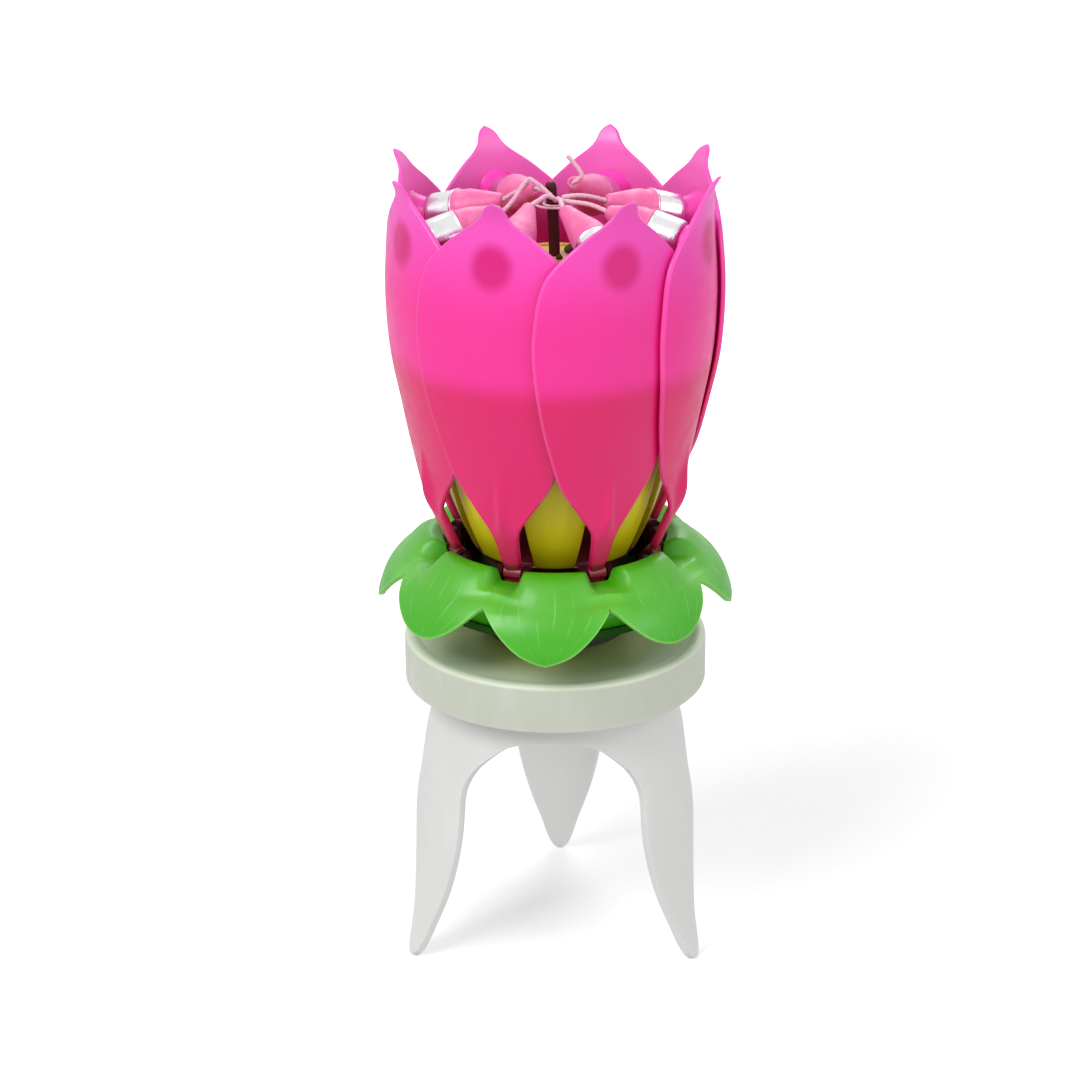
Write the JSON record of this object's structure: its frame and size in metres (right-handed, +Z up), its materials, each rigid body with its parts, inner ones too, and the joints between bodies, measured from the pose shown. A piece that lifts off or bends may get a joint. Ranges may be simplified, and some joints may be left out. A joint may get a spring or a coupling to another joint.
{
  "type": "musical birthday candle",
  "caption": "Closed lotus flower candle that turns and opens its petals, on a three-legged translucent stand, with small candles and a central fuse.",
  "frame": {"origin": "on the turning axis, level with the tips of the three legs", "axes": "+Z up along the turning axis, -Y towards the front, +X to the right"},
  "size_m": [0.0582, 0.0582, 0.1332],
  "materials": {
    "frosted_plastic": "translucent milky moulded plastic",
    "white_plastic": "smooth white moulded plastic",
    "dark_plastic": "dark moulded plastic",
    "hub_plastic": "dark pink moulded plastic",
    "steel": "drawn steel",
    "screw_steel": "zinc plated steel",
    "cell_steel": "nickel plated steel",
    "motor_can": "plated motor can",
    "brass": "bare brass",
    "board": "green circuit board",
    "chip_resin": "black resin",
    "ceramic": "piezo ceramic",
    "band_rubber": "natural rubber",
    "green_plastic": "satin green moulded plastic",
    "yellow_plastic": "translucent yellow moulded plastic",
    "yellow_card": "wound yellow card tube",
    "gold_card": "gold coloured card",
    "clay": "packed clay",
    "charge": "packed grey powder",
    "fuse_cord": "dark red coated fuse cord",
    "thread": "thin cotton thread",
    "pink_plastic": "translucent pink moulded plastic",
    "silver_foil": "bright silver foil",
    "pink_wax": "pink wax with a cotton wick cast in"
  },
  "bodies": {
    "stand": {"leg_stand": "frosted_plastic", "base_disc": "frosted_plastic", "spindle": "steel", "thrust_washer": "white_plastic", "sun_gear": "white_plastic", "retaining_clip": "steel"},
    "head": {"mechanism_case": "dark_plastic", "spindle_bush": "brass", "gear_pin": "steel", "motor_plate": "white_plastic", "motor": "motor_can", "battery_contacts": "brass", "button_cells": "cell_steel", "circuit_board": "board", "melody_chip": "chip_resin", "buzzer_plate": "brass", "buzzer_ceramic": "ceramic", "contact_pins": "steel", "switch_block": "dark_plastic", "switch_leaves": "brass", "case_lid": "dark_plastic", "case_screws": "screw_steel", "petal_hub": "hub_plastic", "hub_screws": "screw_steel", "hinge_pins": "steel", "elastic_band": "band_rubber", "calyx": "green_plastic", "stamen_crown": "yellow_plastic", "fountain_tube": "yellow_card", "clay_plug": "clay", "fountain_charge": "charge", "fountain_cap": "gold_card", "fuse": "fuse_cord", "tie_thread": "thread"},
    "reduction_gear": {"reduction_gear": "white_plastic"},
    "motor_pinion": {"motor_pinion": "brass"},
    "petal_1": {"petal_1": "pink_plastic", "candle_cup_1": "silver_foil", "candle_1": "pink_wax"},
    "petal_2": {"petal_2": "pink_plastic", "candle_cup_2": "silver_foil", "candle_2": "pink_wax"},
    "petal_3": {"petal_3": "pink_plastic", "candle_cup_3": "silver_foil", "candle_3": "pink_wax"},
    "petal_4": {"petal_4": "pink_plastic", "candle_cup_4": "silver_foil", "candle_4": "pink_wax"},
    "petal_5": {"petal_5": "pink_plastic", "candle_cup_5": "silver_foil", "candle_5": "pink_wax"},
    "petal_6": {"petal_6": "pink_plastic", "candle_cup_6": "silver_foil", "candle_6": "pink_wax"},
    "petal_7": {"petal_7": "pink_plastic", "candle_cup_7": "silver_foil", "candle_7": "pink_wax"},
    "petal_8": {"petal_8": "pink_plastic", "candle_cup_8": "silver_foil", "candle_8": "pink_wax"}
  },
  "joints": [
    {"name": "head_spin", "type": "hinge", "parent": "stand", "child": "head", "pos_m": [0, 0, 0], "axis": [0, 0, 1], "continuous": true},
    {"name": "reduction_gear_spin", "type": "hinge", "parent": "head", "child": "reduction_gear", "pos_m": [0.0068, 0, 0.0573], "axis": [0, 0, 1], "continuous": true},
    {"name": "motor_pinion_spin", "type": "hinge", "parent": "head", "child": "motor_pinion", "pos_m": [0.00405, 0.00393, 0.0593], "axis": [0, 0, 1], "continuous": true},
    {"name": "petal_1_hinge", "type": "hinge", "parent": "head", "child": "petal_1", "pos_m": [0.00647, -0.01561, 0.0704], "axis": [0.9239, 0.3827, 0], "range_deg": [0, 65], "deforming": ["elastic_band"]},
    {"name": "petal_2_hinge", "type": "hinge", "parent": "head", "child": "petal_2", "pos_m": [0.01561, -0.00647, 0.0704], "axis": [0.3827, 0.9239, 0], "range_deg": [0, 65]},
    {"name": "petal_3_hinge", "type": "hinge", "parent": "head", "child": "petal_3", "pos_m": [0.01561, 0.00647, 0.0704], "axis": [-0.3827, 0.9239, 0], "range_deg": [0, 65]},
    {"name": "petal_4_hinge", "type": "hinge", "parent": "head", "child": "petal_4", "pos_m": [0.00647, 0.01561, 0.0704], "axis": [-0.9239, 0.3827, 0], "range_deg": [0, 65]},
    {"name": "petal_5_hinge", "type": "hinge", "parent": "head", "child": "petal_5", "pos_m": [-0.00647, 0.01561, 0.0704], "axis": [-0.9239, -0.3827, 0], "range_deg": [0, 65]},
    {"name": "petal_6_hinge", "type": "hinge", "parent": "head", "child": "petal_6", "pos_m": [-0.01561, 0.00647, 0.0704], "axis": [-0.3827, -0.9239, 0], "range_deg": [0, 65]},
    {"name": "petal_7_hinge", "type": "hinge", "parent": "head", "child": "petal_7", "pos_m": [-0.01561, -0.00647, 0.0704], "axis": [0.3827, -0.9239, 0], "range_deg": [0, 65]},
    {"name": "petal_8_hinge", "type": "hinge", "parent": "head", "child": "petal_8", "pos_m": [-0.00647, -0.01561, 0.0704], "axis": [0.9239, -0.3827, 0], "range_deg": [0, 65]}
  ],
  "couplings": [
    {"joint": "reduction_gear_spin", "follows": "head_spin", "ratio": 2.4},
    {"joint": "motor_pinion_spin", "follows": "head_spin", "ratio": -4.8},
    {"joint": "petal_2_hinge", "follows": "petal_1_hinge", "ratio": 1},
    {"joint": "petal_3_hinge", "follows": "petal_1_hinge", "ratio": 1},
    {"joint": "petal_4_hinge", "follows": "petal_1_hinge", "ratio": 1},
    {"joint": "petal_5_hinge", "follows": "petal_1_hinge", "ratio": 1},
    {"joint": "petal_6_hinge", "follows": "petal_1_hinge", "ratio": 1},
    {"joint": "petal_7_hinge", "follows": "petal_1_hinge", "ratio": 1},
    {"joint": "petal_8_hinge", "follows": "petal_1_hinge", "ratio": 1}
  ]
}
